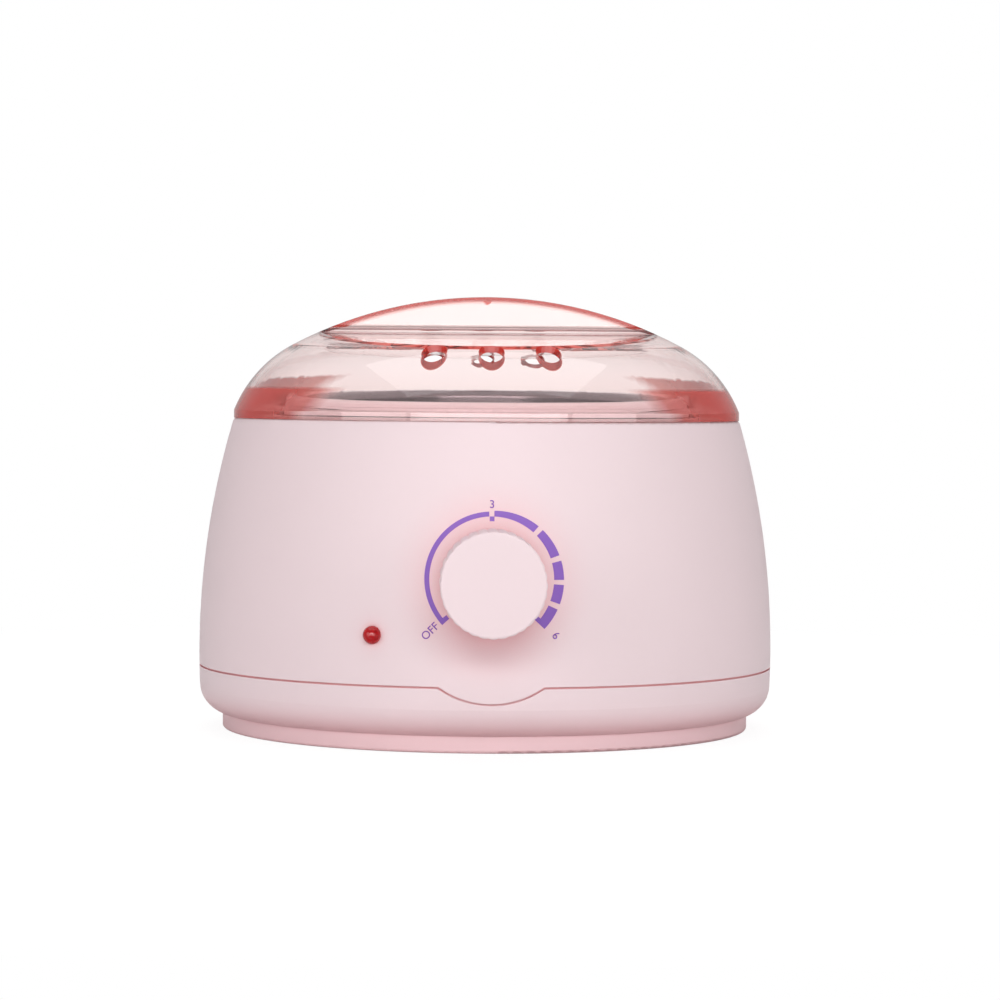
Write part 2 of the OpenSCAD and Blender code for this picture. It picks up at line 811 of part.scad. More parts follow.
module boss_body() {
    round_r = 0.9;
    rotate_extrude()
        intersection() {
            union() {
                square([boss_d / 2, boss_w - 2 * round_r]);
                translate([0, round_r]) square([boss_d / 2, boss_w - 2 * round_r]);
                square([boss_d / 2 - round_r, boss_w]);
                for (z = [round_r, boss_w - round_r])
                    translate([boss_d / 2 - round_r, z]) circle(r = round_r);
            }
            difference() {
                square([boss_d / 2, boss_w]);
                translate([boss_d / 2 - round_r, -1]) difference() {
                    square([2, 1 + round_r]);
                    translate([0, 1 + round_r]) circle(r = round_r);
                }
            }
        }
}

module heating_well() color("silver") {
    difference() {
        union() {
            translate([0, 0, well_floor - well_wall])
                cylinder(r = well_r, h = well_top - well_floor + well_wall);
            translate([0, 0, well_top - well_wall]) cylinder(r = well_flange_r, h = well_wall);
        }
        translate([0, 0, well_floor]) cylinder(r = well_in_r, h = far / 4);
        ring_of(screw_angles, well_screw_r)
            translate([0, 0, well_top - 5]) cylinder(d = screw_d + 0.5, h = 10);
    }
}

module well_screws() color("silver") {
    ring_of(screw_angles, well_screw_r)
        translate([0, 0, well_top - well_wall - sheet_t - head_h]) screw(collar_h - 1);
}

module heat_shield() color("gainsboro") {
    top = well_top - well_wall;
    difference() {
        union() {
            translate([0, 0, shield_z]) tube(shield_r, shield_r - sheet_t, top - shield_z);
            translate([0, 0, top - sheet_t]) tube(well_flange_r, well_screw_r - 4, sheet_t);
        }
        ring_of(screw_angles, well_screw_r)
            translate([0, 0, top - 5]) cylinder(d = screw_d + 0.5, h = 10);
        ring_of(screw_angles, well_screw_r)
            translate([0, 0, top - sheet_t - 7]) cylinder(d = head_d + 1.4, h = 7);
        translate([-window_w / 2, -far / 2, shield_z - 1])
            cube([window_w, far / 2, strap_foot_z + strap_foot_h - shield_z + 2]);
        translate([-window_w / 2, 0, shield_z - 1])
            cube([window_w, far / 2, band_z + band_h - shield_z + 4]);
    }
}

module mica_wrap() color("tan") {
    translate([0, 0, band_z - 1.5]) tube(mica_r, well_r, band_h + 3);
}

// Band with its two upturned lugs at the rear, drawn together by one screw
module heater_band() color("gray") {
    difference() {
        union() {
            translate([0, 0, band_z]) tube(band_r, mica_r, band_h);
            translate([-lug_gap / 2 - lug_t, mica_r + band_t / 2, band_z + 3])
                cube([lug_gap + 2 * lug_t, lug_l + band_t / 2, band_h - 6]);
        }
        translate([-lug_gap / 2, mica_r - 4, band_z - 1]) cube([lug_gap, lug_l + 20, band_h + 2]);
        translate([-10, band_r + lug_l / 2, band_z + band_h / 2])
            rotate([0, 90, 0]) cylinder(d = screw_d, h = 20);
    }
}

module band_screw() color("silver") {
    grip = lug_gap + 2 * lug_t;
    translate([-grip / 2 - 2, band_r + lug_l / 2, band_z + band_h / 2]) rotate([0, 90, 0]) {
        cylinder(d = head_d - 1.6, h = 2);
        translate([0, 0, 1]) cylinder(d = screw_d, h = grip + 5);
        translate([0, 0, grip + 2]) cylinder(d = head_d, h = 2.4, $fn = 6);
    }
}

// Plate behind the front wall, and the strap that brings the well's heat to it past the heater band
module thermostat_frame() color("silver") {
    rise_y = band_r + 2;
    plate_top = knob_z + frame_h / 2;
    foot_top = strap_foot_z + strap_foot_h;
    difference() {
        out_of_front(knob_z)
            translate([-frame_w / 2, -frame_h / 2, frame_y]) cube([frame_w, frame_h, frame_t]);
        out_of_front(knob_z) translate([0, 0, frame_y - 5]) cylinder(d = bush_d - 1.6, h = 10);
    }
    translate([-strap_w / 2, -frame_y, plate_top - strap_t]) cube([strap_w, frame_y - rise_y, strap_t]);
    translate([-strap_w / 2, -rise_y - strap_t, plate_top - strap_t])
        cube([strap_w, strap_t, foot_top - plate_top + strap_t]);
    translate([-strap_w / 2, -rise_y - strap_t, foot_top - strap_t])
        cube([strap_w, rise_y + strap_t / 2 - well_r, strap_t]);
    intersection() {
        translate([0, 0, strap_foot_z]) tube(well_r + strap_t, well_r, strap_foot_h);
        translate([-strap_w / 2, -far / 2, 0]) cube([strap_w, far / 2, far]);
    }
}

module thermostat_bush() color("goldenrod") {
    out_of_front(knob_z)
        difference() {
            union() {
                translate([0, 0, frame_y + frame_t])
                    cylinder(d = bush_d, h = spot_y + nut_t + 0.8 - frame_y - frame_t);
                translate([0, 0, frame_y - 2]) cylinder(d = bush_d - 1.6, h = 4);
            }
            translate([0, 0, frame_y - 5]) cylinder(r = shaft_d / 2 + running_clear, h = far / 10);
        }
}

module thermostat_nut() color("silver") {
    out_of_front(knob_z) translate([0, 0, spot_y])
        difference() {
            cylinder(d = nut_flats / cos(30), h = nut_t, $fn = 6);
            translate([0, 0, -1]) cylinder(d = bush_d, h = nut_t + 2);
        }
}

// Two stacks of ceramic rings with the blades clamped between them
module thermostat_insulators() color("ivory") {
    out_of_front(knob_z)
        for (x = [-stack_x, stack_x], i = [0:stack_count])
            translate([x, 0, frame_y - (i + 1) * stack_step + blade_t])
                tube(stack_r, stack_hole_r, stack_step - blade_t);
}

module thermostat_blades() color("darkgoldenrod") {
    out_of_front(knob_z)
        for (i = [1:stack_count])
            mirror([i % 2, 0, 0])
                translate([0, 0, frame_y - i * stack_step])
                    difference() {
                        translate([-tail_x, -blade_w / 2, 0])
                            cube([tail_x + blade_reach, blade_w, blade_t]);
                        translate([-stack_x, 0, -1]) cylinder(r = stack_hole_r, h = 3);
                    }
}

module control_shaft() color("silver") {
    out_of_front(knob_z)
        difference() {
            translate([0, 0, shaft_end]) cylinder(d = shaft_d, h = shaft_tip - shaft_end);
            translate([-5, shaft_d / 2 - flat_depth, knob_back + 2]) cube([10, 5, knob_l]);
        }
}

module fluted_outline() {
    circle(r = knob_r - flute_r);
    for (i = [0:flute_count - 1])
        rotate(i * 360 / flute_count) translate([knob_r - flute_r, 0]) circle(r = flute_r);
}

module control_knob() color("pink") {
    round_x = knob_r - knob_round + 0.1;
    out_of_front(knob_z)
        difference() {
            intersection() {
                translate([0, 0, knob_back]) linear_extrude(height = knob_l) fluted_outline();
                rotate_extrude()
                    difference() {
                        translate([0, knob_back]) square([knob_r + 1, knob_l]);
                        difference() {
                            translate([round_x, knob_face - knob_round]) square(2 * knob_round + 1);
                            translate([round_x, knob_face - knob_round]) circle(r = knob_round);
                        }
                    }
            }
            translate([0, 0, knob_back - 1])
                tube(knob_r - knob_wall - 0.5, hub_r, knob_l - knob_wall);
            translate([0, 0, knob_back - 1]) cylinder(r = nut_flats * 0.65, h = nut_t + 4);
            difference() {
                translate([0, 0, knob_back - 1]) cylinder(d = shaft_d, h = shaft_tip - knob_back + 1);
                translate([-5, shaft_d / 2 - flat_depth, knob_back + 4]) cube([10, 5, knob_l]);
            }
        }
}

module beside_knob() {
    rotate(-lens_angle) out_of_front(lens_z) children();
}

module pilot_lens() color("red") {
    beside_knob() {
        translate([0, 0, lens_neck])
            intersection() {
                sphere(r = lens_r);
                cylinder(r = lens_r, h = lens_r);
            }
        translate([0, 0, lens_seat]) cylinder(r = lens_r, h = lens_neck - lens_seat);
        translate([0, 0, lens_seat - lens_flange]) cylinder(r = lens_r + lens_lip, h = 2);
        translate([0, 0, lens_seat - 0.6]) cylinder(r = lens_r, h = 1);
    }
}

module lamp_holder() color("ivory") {
    beside_knob() translate([0, 0, lens_seat - lens_flange - holder_l])
        tube(lens_r + lens_lip, lamp_r + 0.6, holder_l);
}

module pilot_lamp() color("orange") {
    beside_knob() {
        translate([0, 0, lens_seat - lamp_foot + 2]) cylinder(r = lamp_r, h = 9.6);
        translate([0, 0, lens_seat - lamp_foot]) cylinder(r = lamp_r + 0.6, h = 2.4);
    }
}

module cord_gland() color("pink") {
    rotate(180) out_of_front(inlet_z)
        difference() {
            union() {
                translate([0, 0, inlet_seat]) linear_extrude(height = 2) rounded_square(gland_w / 2);
                translate([0, 0, inlet_pad - snap_l - 1])
                    linear_extrude(height = inlet_seat - inlet_pad + snap_l + 2) rounded_square(neck_half);
                translate([0, 0, inlet_pad - snap_l]) linear_extrude(height = snap_l)
                    rounded_square(neck_half + snap_h);
            }
            translate([0, 0, inlet_pad - 10]) cylinder(d = inlet_d, h = 30);
        }
}

module thermal_fuse() color("khaki") {
    translate([0, fuse_y, fuse_z]) rotate([0, 90, 0]) {
        cylinder(r = fuse_r, h = 2 * fuse_half, center = true);
        cylinder(r = fuse_wire_r, h = 2 * fuse_wire_half, center = true);
    }
}

// Saddle that presses the fuse to the underside of the well
module fuse_clip() color("silver") {
    translate([0, fuse_y, fuse_z])
        difference() {
            union() {
                rotate([0, 90, 0]) cylinder(r = fuse_r + sheet_t, h = 8, center = true);
                translate([-4, -9, fuse_r + sheet_t]) cube([8, 18, 0.6]);
                translate([-4, -fuse_r - sheet_t, 0]) cube([8, 2 * (fuse_r + sheet_t), fuse_r + sheet_t]);
            }
            rotate([0, 90, 0]) cylinder(r = fuse_r, h = 20, center = true);
        }
}

module terminal_block() color("ivory") {
    difference() {
        translate([-block_w / 2, block_y, floor_top]) cube([block_w, block_d, block_h]);
        for (x = [-clamp_step, 0, clamp_step]) {
            translate([x, block_y - 1, clamp_z])
                rotate([-90, 0, 0]) cylinder(r = lead_r, h = block_d + 2);
            for (y = clamp_rows) translate([x, block_y + y, clamp_z]) cylinder(r = clamp_r, h = block_h);
        }
    }
}

module terminal_screws() color("goldenrod") {
    for (x = [-clamp_step, 0, clamp_step], y = clamp_rows)
        translate([x, block_y + y, clamp_z + clamp_r]) cylinder(r = clamp_r, h = clamp_screw_h);
}

// Places and directions along a lead where it bends round one corner of its route
function bend_stations(route, i) =
    let (
        from = unit(route[i] - route[i - 1]),
        to = unit(route[i + 1] - route[i]),
        angle = acos(from * to),
        inwards = (to - from * cos(angle)) / sin(angle),
        start = route[i] - from * lead_bend * tan(angle / 2)
    )
    [
        for (k = [0:bend_steps])
            let (a = angle * k / bend_steps)
            [
                start + lead_bend * (from * sin(a) + inwards * (1 - cos(a))),
                from * cos(a) + inwards * sin(a)
            ]
    ];

function unit(v) = v / norm(v);

// Direction square to the lead that is nearest to the one before
function side_of(before, along) = unit(before - (before * along) * along);

// Wire of even thickness along a route, bent round each inner point
module lead(route) {
    last = len(route) - 1;
    stations = concat(
        [[route[0], unit(route[1] - route[0])]],
        [for (i = [1:last - 1]) each bend_stations(route, i)],
        [[route[last], unit(route[last] - route[last - 1])]]
    );
    count = len(stations);
    sides = [
        for (
            i = 0, side = side_of([1, 2, 4], stations[0][1]);
            i < count;
            i = i + 1, side = side_of(side, stations[min(i, count - 1)][1])
        ) side
    ];
    points = [
        for (i = [0:count - 1], k = [0:lead_sides - 1])
            let (a = 360 * k / lead_sides, along = stations[i][1])
            stations[i][0] + lead_r * (sides[i] * cos(a) + cross(along, sides[i]) * sin(a))
    ];
    ends = [
        [for (k = [0:lead_sides - 1]) k],
        [for (k = [1:lead_sides]) count * lead_sides - k]
    ];
    walls = [
        for (i = [0:count - 2], k = [0:lead_sides - 1])
            let (near = i * lead_sides, next = (k + 1) % lead_sides)
            [near + next, near + k, near + lead_sides + k, near + lead_sides + next]
    ];
    polyhedron(points, concat(ends, walls));
}

module fuse_wire_hole() {
    translate([0, fuse_y, fuse_z]) rotate([0, 90, 0])
        cylinder(r = fuse_wire_r, h = 4 * fuse_wire_half, center = true);
}

// Terminal block to fuse
module live_lead() color("saddlebrown") {
    difference() {
        lead([
            [clamp_step, block_y + lead_in, clamp_z], [clamp_step, fuse_y, clamp_z],
            [clamp_step, fuse_y, fuse_z + lead_r]
        ]);
        fuse_wire_hole();
    }
}

// Fuse to the thermostat's middle blade
module switched_lead() color("black") {
    blade_y = -frame_y + 2 * stack_step - blade_t / 2;
    difference() {
        lead([
            [-clamp_step, fuse_y, fuse_z + lead_r], [-clamp_step, fuse_y, run_z],
            [-blade_end[0], fuse_y, run_z], [-blade_end[0], blade_y, run_z],
            [-blade_end[0], blade_y, blade_end[1]]
        ]);
        fuse_wire_hole();
    }
}

// Thermostat's last blade to one lug of the heater band
module heater_lead() color("black") {
    blade_y = -frame_y + stack_count * stack_step - blade_t / 2;
    lead([
        [blade_end[0], blade_y, blade_end[1]], [blade_end[0], blade_y, run_z],
        [blade_end[0], lug_end[1], run_z], [lug_end[0], lug_end[1], run_z], lug_end
    ]);
}

// Other lug of the heater band to the terminal block
module neutral_lead() color("royalblue") {
    lead([
        [-lug_end[0], lug_end[1], lug_end[2]], [-lug_end[0], lug_end[1], run_z],
        [-clamp_step, lug_end[1], run_z], [-clamp_step, turn_y, run_z], [-clamp_step, turn_y, clamp_z],
        [-clamp_step, block_y + lead_in, clamp_z]
    ]);
}

// Sleeved pair from the pilot lamp's foot to the terminal block
module lamp_lead() color("ivory") {
    out = [-sin(lens_angle), -cos(lens_angle), 0];
    up = [0, 0, 1];
    foot = lens_seat - lamp_foot;
    lead([
        out * foot + up * lens_z, out * (foot - 3 * lead_bend) + up * lens_z,
        out * (foot - 3 * lead_bend) + up * lamp_run_z, up * lamp_run_z,
        [0, turn_y, lamp_run_z], [0, turn_y, clamp_z], [0, block_y + lead_in, clamp_z]
    ]);
}

lid();
inner_pot();
ear_left();
ear_right();
ear_rivets();
handle_pivots();
pot_handle();
upper_housing();
base_pan();
rubber_feet();
base_screws();
cord_gland();
heating_well();
well_screws();
mica_wrap();
heater_band();
band_screw();
heat_shield();
thermostat_frame();
thermostat_bush();
thermostat_nut();
thermostat_insulators();
thermostat_blades();
control_shaft();
control_knob();
pilot_lens();
lamp_holder();
pilot_lamp();
thermal_fuse();
fuse_clip();
terminal_block();
terminal_screws();
live_lead();
switched_lead();
heater_lead();
neutral_lead();
lamp_lead();
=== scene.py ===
import math
import bmesh
import bpy
from mathutils import Matrix, Vector


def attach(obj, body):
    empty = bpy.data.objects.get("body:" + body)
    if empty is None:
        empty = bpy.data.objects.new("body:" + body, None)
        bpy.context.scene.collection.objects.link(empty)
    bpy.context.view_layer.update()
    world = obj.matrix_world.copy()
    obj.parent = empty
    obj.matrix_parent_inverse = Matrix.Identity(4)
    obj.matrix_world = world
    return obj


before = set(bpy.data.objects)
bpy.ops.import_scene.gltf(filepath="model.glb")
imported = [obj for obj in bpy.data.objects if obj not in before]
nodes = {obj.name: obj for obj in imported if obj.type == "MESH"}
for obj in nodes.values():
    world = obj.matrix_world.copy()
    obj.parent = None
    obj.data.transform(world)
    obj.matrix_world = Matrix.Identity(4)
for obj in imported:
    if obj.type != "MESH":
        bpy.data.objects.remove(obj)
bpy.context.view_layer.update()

# Camera: level with the lid's foot, a little over a metre off, and a touch left of straight in front.
# It leans by less than half a degree, so the right-hand side sits slightly lower.
eye_far = 1.097
eye_high = 0.1108
eye_round = math.radians(-1.2)
aim_aside = 0.00454
aim_high = 0.0735
eye_lean = math.radians(0.40)
eye = Vector((eye_far * math.sin(eye_round), -eye_far * math.cos(eye_round), eye_high))
look_at = Vector((aim_aside * math.cos(eye_round), aim_aside * math.sin(eye_round), aim_high))
lens = bpy.data.cameras.new("viewpoint")
lens.lens = 121.7
lens.sensor_width = 36.0
viewpoint = bpy.data.objects.new("viewpoint", lens)
bpy.context.scene.collection.objects.link(viewpoint)
ahead = (look_at - eye).to_track_quat("-Z", "Y").to_matrix().to_4x4()
viewpoint.matrix_world = Matrix.Translation(eye) @ ahead @ Matrix.Rotation(eye_lean, 4, "Z")
bpy.context.scene.camera = viewpoint
bpy.context.scene.view_settings.view_transform = "Standard"
paths = bpy.context.scene.cycles
paths.max_bounces = 32
paths.transmission_bounces = 28
paths.glossy_bounces = 24


# Studio: a pale seamless floor that keeps the soft shadow round the object and turns white further
# off, a white backdrop for the eye and the clear lid, and large soft lights in front, at the sides,
# overhead and behind. Clear plastic sees only the two cards, so that it isn't washed out.
class Wire:
    """A node's output. Sums, products and the like of wires and numbers add Math nodes."""

    def __init__(self, finish, socket):
        self.finish = finish
        self.socket = socket

    def sum_up(self, operation, first, second):
        return self.finish.node("ShaderNodeMath", {"operation": operation}, [first, second])

    def __add__(self, other):
        return self.sum_up("ADD", self, other)

    def __radd__(self, other):
        return self.sum_up("ADD", other, self)

    def __sub__(self, other):
        return self.sum_up("SUBTRACT", self, other)

    def __rsub__(self, other):
        return self.sum_up("SUBTRACT", other, self)

    def __mul__(self, other):
        return self.sum_up("MULTIPLY", self, other)

    def __rmul__(self, other):
        return self.sum_up("MULTIPLY", other, self)

    def __truediv__(self, other):
        return self.sum_up("DIVIDE", self, other)

    def top(self, other):
        return self.sum_up("MAXIMUM", self, other)

    def least(self, other):
        return self.sum_up("MINIMUM", self, other)


class Finish:
    """A surface finish: a material (or the world) whose nodes are added one by one."""

    def __init__(self, holder):
        holder.use_nodes = True
        self.holder = holder
        self.tree = holder.node_tree
        self.tree.nodes.clear()

    def node(self, kind, settings=None, inputs=None, out=0):
        """Adds a node by its type, its settings and its sockets' values or wires, and gives one output."""
        made = self.tree.nodes.new(kind)
        for name, value in (settings or {}).items():
            setattr(made, name, value)
        if isinstance(inputs, (list, tuple)):
            inputs = dict(enumerate(inputs))
        for name, value in (inputs or {}).items():
            if isinstance(value, Wire):
                self.tree.links.new(value.socket, made.inputs[name])
            else:
                made.inputs[name].default_value = value
        if not made.outputs:
            return made
        return Wire(self, made.outputs[out])

    def blend(self, share, first, second):
        """A colour between first and second, by share."""
        pair = [(*c, 1.0) if isinstance(c, tuple) else c for c in (first, second)]
        sockets = {0: share, 6: pair[0], 7: pair[1]}
        return self.node("ShaderNodeMix", {"data_type": "RGBA"}, sockets, out=2)


light_path = "ShaderNodeLightPath"
seen_light = 1.0
room_light = 0.12
room_sheen = 0.5
light_inside = 0.75
sky = bpy.data.worlds.new("studio")
bpy.context.scene.world = sky
studio = Finish(sky)
passed_clear = studio.node(light_path, out="Is Transmission Ray")
lit_inside = studio.node(light_path, out="Diffuse Depth").least(1.0) * passed_clear
seen = studio.node(light_path, out="Is Camera Ray").top(passed_clear) - lit_inside
glossy = studio.node(light_path, out="Is Glossy Ray") * (1.0 - seen)
studio.node("ShaderNodeOutputWorld", inputs={
    "Surface": studio.node("ShaderNodeBackground", inputs={
        "Color": (1.0, 1.0, 1.0, 1.0),
        "Strength": room_light + (seen_light - room_light) * seen + (room_sheen - room_light) * glossy
        + (light_inside - room_light) * lit_inside,
    }),
})

floor_r = 9.0
floor_drop = 0.00005
shadow_r = 0.16
shadow_fade = 0.3
near_white = 0.84
near_glow = 1.09
far_glow = 1.0
bpy.ops.object.select_all(action="DESELECT")
bpy.ops.mesh.primitive_circle_add(vertices=96, radius=floor_r, fill_type="NGON",
                                  location=(0.0, 0.0, -floor_drop))
bpy.ops.object.transform_apply(location=True, rotation=True, scale=True)
floor = bpy.context.object
floor.name = "studio_floor"
floor_paint = Finish(bpy.data.materials.new("studio_floor"))
floor_seen = floor_paint.node(light_path, out="Is Camera Ray").top(
    floor_paint.node(light_path, out="Is Transmission Ray"))
from_middle = floor_paint.node("ShaderNodeVectorMath", {"operation": "LENGTH"},
                               [floor_paint.node("ShaderNodeTexCoord", out="Object")], out="Value")
apart = ((from_middle - shadow_r) / shadow_fade).top(0.0).least(1.0)
floor_paint.node("ShaderNodeOutputMaterial", inputs={
    "Surface": floor_paint.node("ShaderNodeMixShader", inputs={
        0: (near_white + (1.0 - near_white) * apart) * floor_seen,
        1: floor_paint.node("ShaderNodeBsdfDiffuse", inputs={"Color": (0.74, 0.74, 0.74, 1.0)}),
        2: floor_paint.node("ShaderNodeEmission", inputs={
            "Color": (1.0, 1.0, 1.0, 1.0), "Strength": near_glow + (far_glow - near_glow) * apart,
        }),
    }),
})
floor.data.materials.append(floor_paint.holder)


def softbox(name, around, rise, away, width, height, glow):
    """A soft lamp aimed at the object's middle, by its bearing from the front and its rise in degrees.

    away, width and height are in metres, and glow is its brightness, where 1 is a white card's."""
    lamp = bpy.data.lights.new(name, "AREA")
    lamp.shape = "RECTANGLE"
    lamp.size = width
    lamp.size_y = height
    lamp.energy = 4.0 * glow * width * height
    box = bpy.data.objects.new(name, lamp)
    bpy.context.scene.collection.objects.link(box)
    bearing, climb = math.radians(around), math.radians(rise)
    level = math.cos(climb)
    out = Vector((math.sin(bearing) * level, -math.cos(bearing) * level, math.sin(climb)))
    turn = (-out).to_track_quat("-Z", "Y").to_matrix().to_4x4()
    middle = Vector((0.0, 0.0, 0.07))
    box.matrix_world = Matrix.Translation(middle + out * away) @ turn
    box.visible_camera = False
    return box


lamps_away = 1.75
overhead_away = 1.05
key = softbox("key_softbox", 0.0, 20.5, lamps_away, 1.30, 0.275, 8.4)
overhead = softbox("top_softbox", 0.0, 84.0, overhead_away, 1.20, 0.86, 1.1)
sides = [softbox("side_softbox", side * 52.0, 12.5, lamps_away, 1.0, 0.88, 2.38) for side in (-1, 1)]
rear = softbox("rear_softbox", 180.0, 42.0, lamps_away, 1.6, 0.9, 3.0)
rear.visible_glossy = False
front_card = softbox("front_card", 0.0, 4.0, lamps_away, 2.4, 1.3, 4.0)
front_card.visible_diffuse = False
for lamp in (key, overhead, *sides, rear, front_card):
    lamp.visible_transmission = False
window_card = softbox("window_card", 0.0, 6.0, lamps_away, 2.2, 1.2, 1.7)
skylight_card = softbox("skylight_card", 0.0, 84.0, overhead_away, 1.2, 0.86, 3.0)
for card in (window_card, skylight_card):
    card.visible_diffuse = False
    card.visible_glossy = False


# Housing and base: pale pink ABS, moulded with a fine satin grain. The base closes the housing from
# below, held by four screws, along a parting line that dips round a tongue at the front.
def plastic(name, colour, rough=0.34, grain=0.25, metal=0.0, painted_nook_shade=None, **fixed):
    """A moulded or plain finish with slight clouding, uneven gloss and a fine grain.

    The nook colour is painted shade: a deeper, redder pink painted into grooves and corners, where ambient
    occlusion finds them, in place of light bounced inside them. It fades towards the pale floor and stops
    below the lid, where white light fills the corners."""
    paint = Finish(bpy.data.materials.new(name))
    place = paint.node("ShaderNodeTexCoord", out="Object")
    noise = "ShaderNodeTexNoise"
    cloud = paint.node(noise, inputs={"Vector": place, "Scale": 24.0, "Detail": 3.0}, out="Fac")
    fine = paint.node(noise, inputs={"Vector": place, "Scale": 2600.0, "Detail": 2.0}, out="Fac")
    clouded = 0.965
    shade = paint.blend(cloud, colour, tuple(c * clouded for c in colour))
    if painted_nook_shade:
        nook_reach, floor_white, lid_white = 0.018, 0.010, 0.095
        open_sky = paint.node("ShaderNodeAmbientOcclusion", {"samples": 6}, {"Distance": nook_reach},
                              out="AO")
        height = paint.node("ShaderNodeSeparateXYZ", inputs=[place], out=2)
        above_floor = (60.0 * (height - floor_white)).top(0.35).least(1.0)
        below_lid = (500.0 * (lid_white - height)).top(0.0).least(1.0)
        shade_share = (1.5 * (0.96 - open_sky)).top(0.0).least(1.0)
        # Painted shade: the nook colour is blended in where ambient occlusion finds grooves and corners.
        shade = paint.blend(shade_share * (above_floor * below_lid), shade, painted_nook_shade)
    bump = {"Strength": grain, "Distance": 0.00002, "Height": fine}
    inputs = {
        "Base Color": shade,
        "Roughness": rough + 0.05 * (cloud - 0.5) + 0.06 * (fine - 0.5),
        "Metallic": metal,
        "Normal": paint.node("ShaderNodeBump", inputs=bump),
    }
    inputs.update(fixed)
    paint.node("ShaderNodeOutputMaterial", inputs={
        "Surface": paint.node("ShaderNodeBsdfPrincipled", inputs=inputs),
    })
    return paint.holder


def dress(finish, *names):
    """Gives CAD nodes their finish."""
    for name in names:
        slots = nodes[name].data.materials
        slots.clear()
        slots.append(finish)


# The pink carries painted shade in its grooves and corners, through its nook colour.
pink = plastic("satin_pink", (0.80, 0.655, 0.68), 0.44, painted_nook_shade=(0.83, 0.31, 0.33),
               **{"Specular IOR Level": 0.13})
dress(pink, "upper_housing", "base_pan")

# Base fittings: four zinc-plated screws that close the housing from below, and four rubber feet in
# the base, level with its foot ring.
zinc = plastic("zinc", (0.62, 0.62, 0.63), 0.35, 0.4, 1.0)
dress(zinc, "base_screws")
dress(plastic("foot_rubber", (0.05, 0.05, 0.05), 0.7, 0.6), "rubber_feet")

# Cord gland: a bush moulded in the same pink, with a flange that seats in the hole at the rear.
# No cord is fitted.
dress(pink, "cord_gland")

# Heating well: drawn from aluminium sheet. Its flange is held to the deck by four zinc-plated
# screws.
dress(plastic("drawn_aluminium", (0.66, 0.66, 0.67), 0.4, 0.4, 1.0), "heating_well")
dress(zinc, "well_screws")

# Heater: a resistance band in a plated steel sheath, clamped round the well over a mica wrap by one
# screw through its lugs. A plated steel shield keeps its heat off the housing.
dress(plastic("mica", (0.45, 0.36, 0.25), 0.5, 0.4), "mica_wrap")
dress(zinc, "heater_band", "band_screw", "heat_shield")

# Thermostat: a plated steel frame with brass blades clamped between ceramic spacers. The control
# shaft turns in its brass bush, and a nut under the knob holds it to the housing.
brass = plastic("brass", (0.72, 0.58, 0.3), 0.3, 0.4, 1.0)
ceramic = plastic("ceramic", (0.78, 0.76, 0.70), 0.6, 0.4)
dress(zinc, "thermostat_frame", "thermostat_nut", "control_shaft")
dress(brass, "thermostat_bush", "thermostat_blades")
dress(ceramic, "thermostat_insulators")

# Thermal fuse: a one-shot fuse in a ceramic body, held against the well's underside by a plated
# steel clip.
dress(ceramic, "thermal_fuse")
dress(zinc, "fuse_clip")

# Terminal block and leads: a ceramic block with brass clamp screws, and copper leads in woven glass
# sleeves that run from it to the fuse, thermostat, band and lamp.
dress(ceramic, "terminal_block")
dress(brass, "terminal_screws")
dress(plastic("glass_sleeve", (0.70, 0.66, 0.58), 0.7, 0.6),
      *[name for name in nodes if name.endswith("_lead")])

# Pilot light: a neon lamp in a ceramic holder, behind a domed lens of clear red acrylic that the
# holder carries.
dress(ceramic, "lamp_holder")
dress(plastic("lamp_glass", (0.9, 0.5, 0.3), 0.1, 0.1), "pilot_lamp")
dress(plastic("red_lens", (0.42, 0.001, 0.004), 0.25, 0.02, **{
    "Specular IOR Level": 0.1, "Coat Weight": 1.0, "Coat Roughness": 0.02, "Coat IOR": 1.33,
}), "pilot_lens")

# Control knob: moulded hollow in the same pink ABS with flutes round it, and pushed on the control
# shaft, whose flat turns with it.
dress(pink, "control_knob")


# Dial print: violet ink on the barrel round the knob. A thin arc runs from OFF to the middle setting,
# and five blocks that grow wider run on to the highest. The labels are plain numbers and OFF.
ink = plastic("violet_ink", (0.21, 0.085, 0.45), 0.42, 0.15, **{"Specular IOR Level": 0.2})
dial = Vector((0.0, -0.0945, 0.0529))
scale_r = 0.01866
tick = 0.0014


def heading(point):
    """Degrees round the dial from its top, clockwise from the front."""
    return math.degrees(math.atan2(point.x - dial.x, point.z - dial.z))


def choose(piece, faces=None, edges=None):
    """In edit mode, selects just the faces or edges that a test picks."""
    bpy.ops.mesh.select_all(action="DESELECT")
    bpy.ops.mesh.select_mode(type="FACE" if faces else "EDGE")
    shape = bmesh.from_edit_mesh(piece.data)
    for part in (shape.faces if faces else shape.edges):
        centre = sum((v.co for v in part.verts), Vector()) / len(part.verts)
        if (faces or edges)(centre):
            part.select_set(True)
    bmesh.update_edit_mesh(piece.data)


def printed(piece):
    """Lays a flat outline on the barrel as a film of ink."""
    wrap = piece.modifiers.new("wrap", "SHRINKWRAP")
    wrap.target = nodes["upper_housing"]
    wrap.wrap_method = "PROJECT"
    wrap.use_project_y = True
    wrap.use_positive_direction = True
    wrap.offset = 0.00003
    film = piece.modifiers.new("film", "SOLIDIFY")
    film.thickness = 0.00004
    film.offset = 0.0
    for modifier in (wrap.name, film.name):
        bpy.ops.object.modifier_apply(modifier=modifier)
    bpy.ops.object.mode_set(mode="EDIT")
    bpy.ops.mesh.select_all(action="SELECT")
    bpy.ops.mesh.normals_make_consistent(inside=False)
    bpy.ops.object.mode_set(mode="OBJECT")
    piece.data.materials.append(ink)
    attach(piece, "housing")


